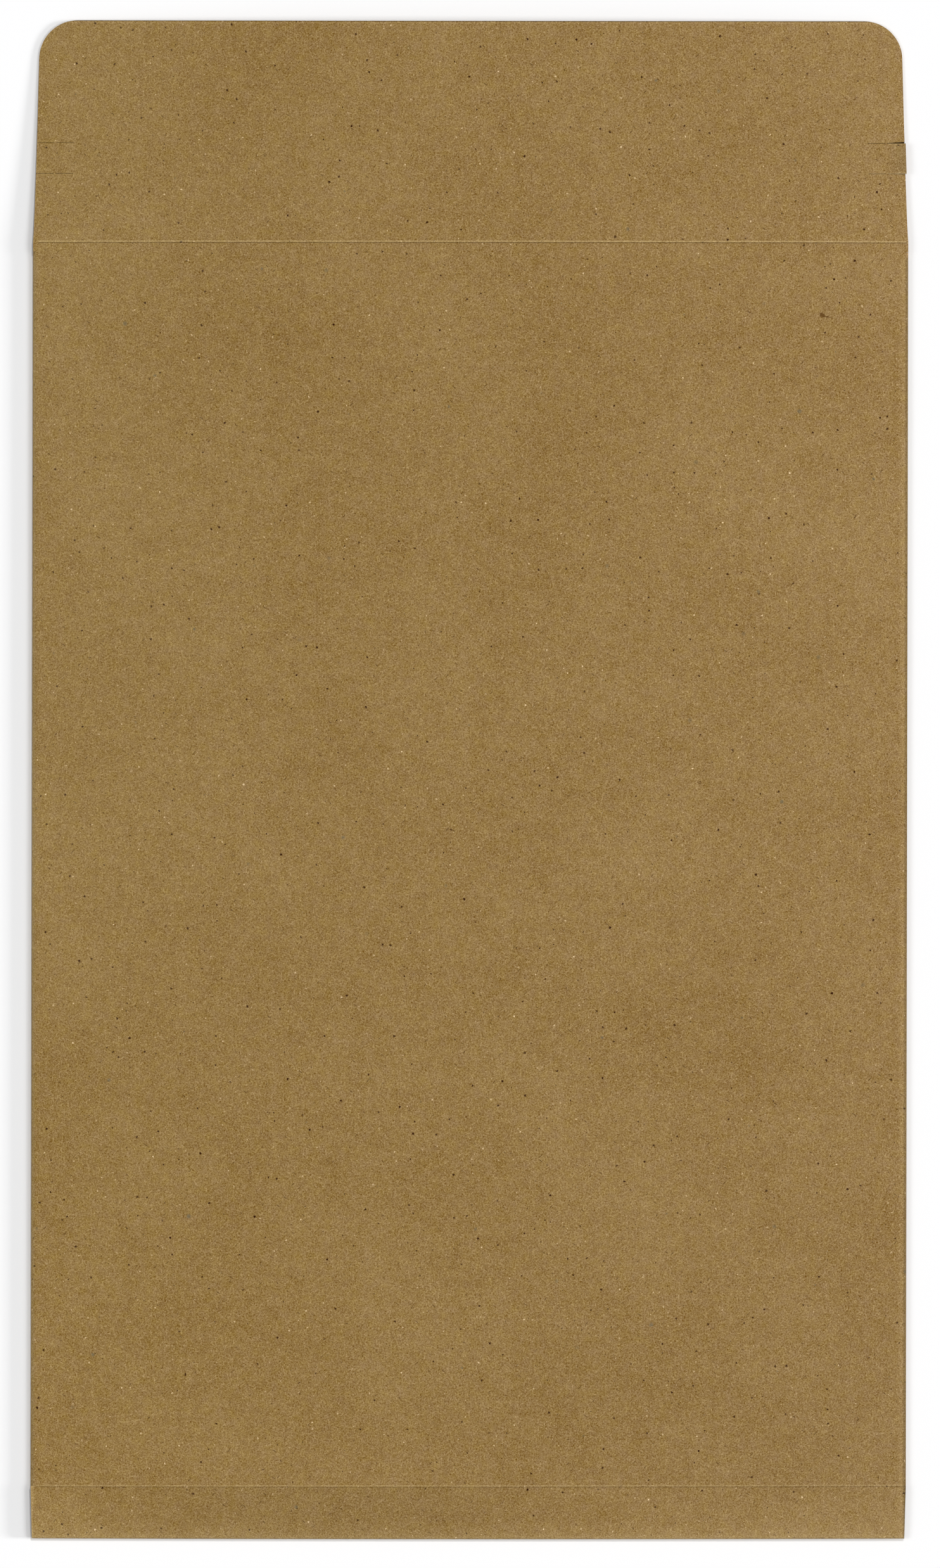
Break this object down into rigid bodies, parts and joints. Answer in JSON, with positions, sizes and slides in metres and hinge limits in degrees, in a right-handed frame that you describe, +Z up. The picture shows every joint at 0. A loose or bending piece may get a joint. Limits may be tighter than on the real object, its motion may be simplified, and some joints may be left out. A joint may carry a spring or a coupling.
{
  "type": "kraft board envelope",
  "caption": "Flat mailing envelope folded and glued from one sheet of brown kraft board, open pocket, creased closing flap with a slit tear tab at each side.",
  "frame": {"origin": "middle of the envelope's length and width, on the plane that its back panel rests on", "axes": "+Y along the envelope towards the closing flap, +Z up out of the front face, +X across to the right"},
  "size_m": [0.234, 0.4056, 0.0075],
  "materials": {
    "kraft_board": "matte"
  },
  "bodies": {
    "root": {"envelope": "kraft_board"}
  },
  "joints": []
}
